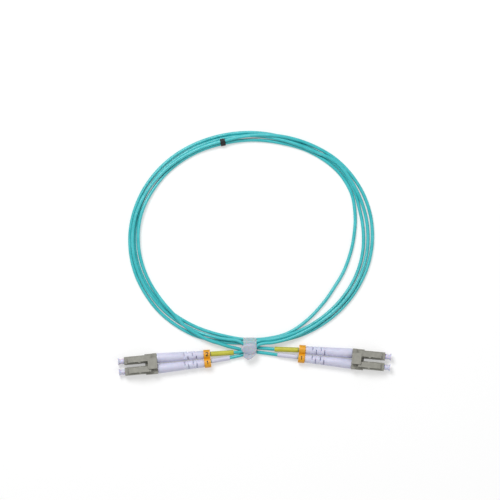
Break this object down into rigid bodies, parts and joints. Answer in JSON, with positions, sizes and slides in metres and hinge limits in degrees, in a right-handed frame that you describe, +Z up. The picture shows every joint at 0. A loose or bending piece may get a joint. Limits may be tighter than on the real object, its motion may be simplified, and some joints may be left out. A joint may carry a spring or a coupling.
{
  "type": "fiber optic patch cord",
  "caption": "Duplex fibre patch cord with small-form plugs, dust caps and long boots on each end, put away as a flat oval coil held by a tie and a band.",
  "frame": {"origin": "middle of the coil's eye, on the surface that the coil and the connectors' clips lie on", "axes": "+X to the right along the row of both connectors, +Y away from the connectors across the coil, +Z up"},
  "size_m": [0.1601, 0.1439, 0.0083],
  "materials": {
    "grey_plastic": "fine satin",
    "light_grey_plastic": "fine satin",
    "cap_plastic": "slightly translucent",
    "boot_plastic": "soft satin",
    "ceramic": "polished",
    "nickel": "plated",
    "spring_steel": "drawn wire",
    "aqua_jacket": "satin",
    "orange_plastic": "satin",
    "yellow_sleeve": "satin",
    "white_sleeve": "satin",
    "black_rubber": "matte",
    "clear_strip": "ribbed, translucent"
  },
  "bodies": {
    "cord": {"left_plug_1": "grey_plastic", "left_plug_2": "grey_plastic", "left_spring_1": "spring_steel", "left_spring_2": "spring_steel", "left_rear_body_1": "nickel", "left_rear_body_2": "nickel", "left_crimp_ring_1": "nickel", "left_crimp_ring_2": "nickel", "left_boot_1": "boot_plastic", "left_boot_2": "boot_plastic", "left_sleeve_1": "yellow_sleeve", "left_sleeve_2": "white_sleeve", "left_leg_1": "aqua_jacket", "left_leg_2": "aqua_jacket", "right_plug_1": "grey_plastic", "right_plug_2": "grey_plastic", "right_spring_1": "spring_steel", "right_spring_2": "spring_steel", "right_rear_body_1": "nickel", "right_rear_body_2": "nickel", "right_crimp_ring_1": "nickel", "right_crimp_ring_2": "nickel", "right_boot_1": "boot_plastic", "right_boot_2": "boot_plastic", "right_sleeve_1": "yellow_sleeve", "right_sleeve_2": "white_sleeve", "right_leg_1": "aqua_jacket", "right_leg_2": "aqua_jacket", "left_duplex_clip": "grey_plastic", "left_marker_clip": "orange_plastic", "right_duplex_clip": "grey_plastic", "right_marker_clip": "orange_plastic", "coil_a": "aqua_jacket", "coil_b": "aqua_jacket", "cord_band": "black_rubber", "tie_band": "clear_strip", "tie_knot": "clear_strip"},
    "left_trigger": {"left_trigger": "light_grey_plastic"},
    "left_latch_1": {"left_latch_1": "light_grey_plastic"},
    "left_ferrule_1": {"left_ferrule_1": "ceramic", "left_flange_1": "nickel"},
    "left_dust_cap_1": {"left_dust_cap_1": "cap_plastic"},
    "left_latch_2": {"left_latch_2": "light_grey_plastic"},
    "left_ferrule_2": {"left_ferrule_2": "ceramic", "left_flange_2": "nickel"},
    "left_dust_cap_2": {"left_dust_cap_2": "cap_plastic"},
    "right_trigger": {"right_trigger": "light_grey_plastic"},
    "right_latch_1": {"right_latch_1": "light_grey_plastic"},
    "right_ferrule_1": {"right_ferrule_1": "ceramic", "right_flange_1": "nickel"},
    "right_dust_cap_1": {"right_dust_cap_1": "cap_plastic"},
    "right_latch_2": {"right_latch_2": "light_grey_plastic"},
    "right_ferrule_2": {"right_ferrule_2": "ceramic", "right_flange_2": "nickel"},
    "right_dust_cap_2": {"right_dust_cap_2": "cap_plastic"}
  },
  "joints": [
    {"name": "left_trigger_press", "type": "hinge", "parent": "cord", "child": "left_trigger", "pos_m": [-0.05517, -0.07305, 0.0062], "axis": [0.0941, -0.9956, 0], "range_deg": [0, 10], "stiffness_Nm_per_rad": 0.0001, "springref_deg": -2.86},
    {"name": "left_latch_1_bend", "type": "hinge", "parent": "cord", "child": "left_latch_1", "pos_m": [-0.07139, -0.07144, 0.00585], "axis": [-0.0941, 0.9956, 0], "range_deg": [0, 3.3], "stiffness_Nm_per_rad": 0.00005, "springref_deg": -3.44},
    {"name": "left_ferrule_1_float", "type": "slide", "parent": "cord", "child": "left_ferrule_1", "axis": [0.9956, 0.0941, 0], "range_m": [0, 0.001], "stiffness_N_per_m": 1000, "deforming": ["left_spring_1"]},
    {"name": "left_dust_cap_1_pull", "type": "slide", "parent": "cord", "child": "left_dust_cap_1", "axis": [-0.9956, -0.0941, 0], "range_m": [0, 0.008]},
    {"name": "left_latch_2_bend", "type": "hinge", "parent": "cord", "child": "left_latch_2", "pos_m": [-0.0708, -0.07766, 0.00585], "axis": [-0.0941, 0.9956, 0], "range_deg": [0, 3.3], "stiffness_Nm_per_rad": 0.00005, "springref_deg": -3.44},
    {"name": "left_ferrule_2_float", "type": "slide", "parent": "cord", "child": "left_ferrule_2", "axis": [0.9956, 0.0941, 0], "range_m": [0, 0.001], "stiffness_N_per_m": 1000, "deforming": ["left_spring_2"]},
    {"name": "left_dust_cap_2_pull", "type": "slide", "parent": "cord", "child": "left_dust_cap_2", "axis": [-0.9956, -0.0941, 0], "range_m": [0, 0.008]},
    {"name": "right_trigger_press", "type": "hinge", "parent": "cord", "child": "right_trigger", "pos_m": [0.06007, -0.0703, 0.0062], "axis": [0.0941, 0.9956, 0], "range_deg": [0, 10], "stiffness_Nm_per_rad": 0.0001, "springref_deg": -2.86},
    {"name": "right_latch_1_bend", "type": "hinge", "parent": "cord", "child": "right_latch_1", "pos_m": [0.07629, -0.06869, 0.00585], "axis": [-0.0941, -0.9956, 0], "range_deg": [0, 3.3], "stiffness_Nm_per_rad": 0.00005, "springref_deg": -3.44},
    {"name": "right_ferrule_1_float", "type": "slide", "parent": "cord", "child": "right_ferrule_1", "axis": [-0.9956, 0.0941, 0], "range_m": [0, 0.001], "stiffness_N_per_m": 1000, "deforming": ["right_spring_1"]},
    {"name": "right_dust_cap_1_pull", "type": "slide", "parent": "cord", "child": "right_dust_cap_1", "axis": [0.9956, -0.0941, 0], "range_m": [0, 0.008]},
    {"name": "right_latch_2_bend", "type": "hinge", "parent": "cord", "child": "right_latch_2", "pos_m": [0.0757, -0.07491, 0.00585], "axis": [-0.0941, -0.9956, 0], "range_deg": [0, 3.3], "stiffness_Nm_per_rad": 0.00005, "springref_deg": -3.44},
    {"name": "right_ferrule_2_float", "type": "slide", "parent": "cord", "child": "right_ferrule_2", "axis": [-0.9956, 0.0941, 0], "range_m": [0, 0.001], "stiffness_N_per_m": 1000, "deforming": ["right_spring_2"]},
    {"name": "right_dust_cap_2_pull", "type": "slide", "parent": "cord", "child": "right_dust_cap_2", "axis": [0.9956, -0.0941, 0], "range_m": [0, 0.008]}
  ],
  "couplings": [
    {"joint": "left_latch_1_bend", "follows": "left_trigger_press", "ratio": 0.32},
    {"joint": "left_latch_2_bend", "follows": "left_trigger_press", "ratio": 0.32},
    {"joint": "right_latch_1_bend", "follows": "right_trigger_press", "ratio": 0.32},
    {"joint": "right_latch_2_bend", "follows": "right_trigger_press", "ratio": 0.32}
  ]
}
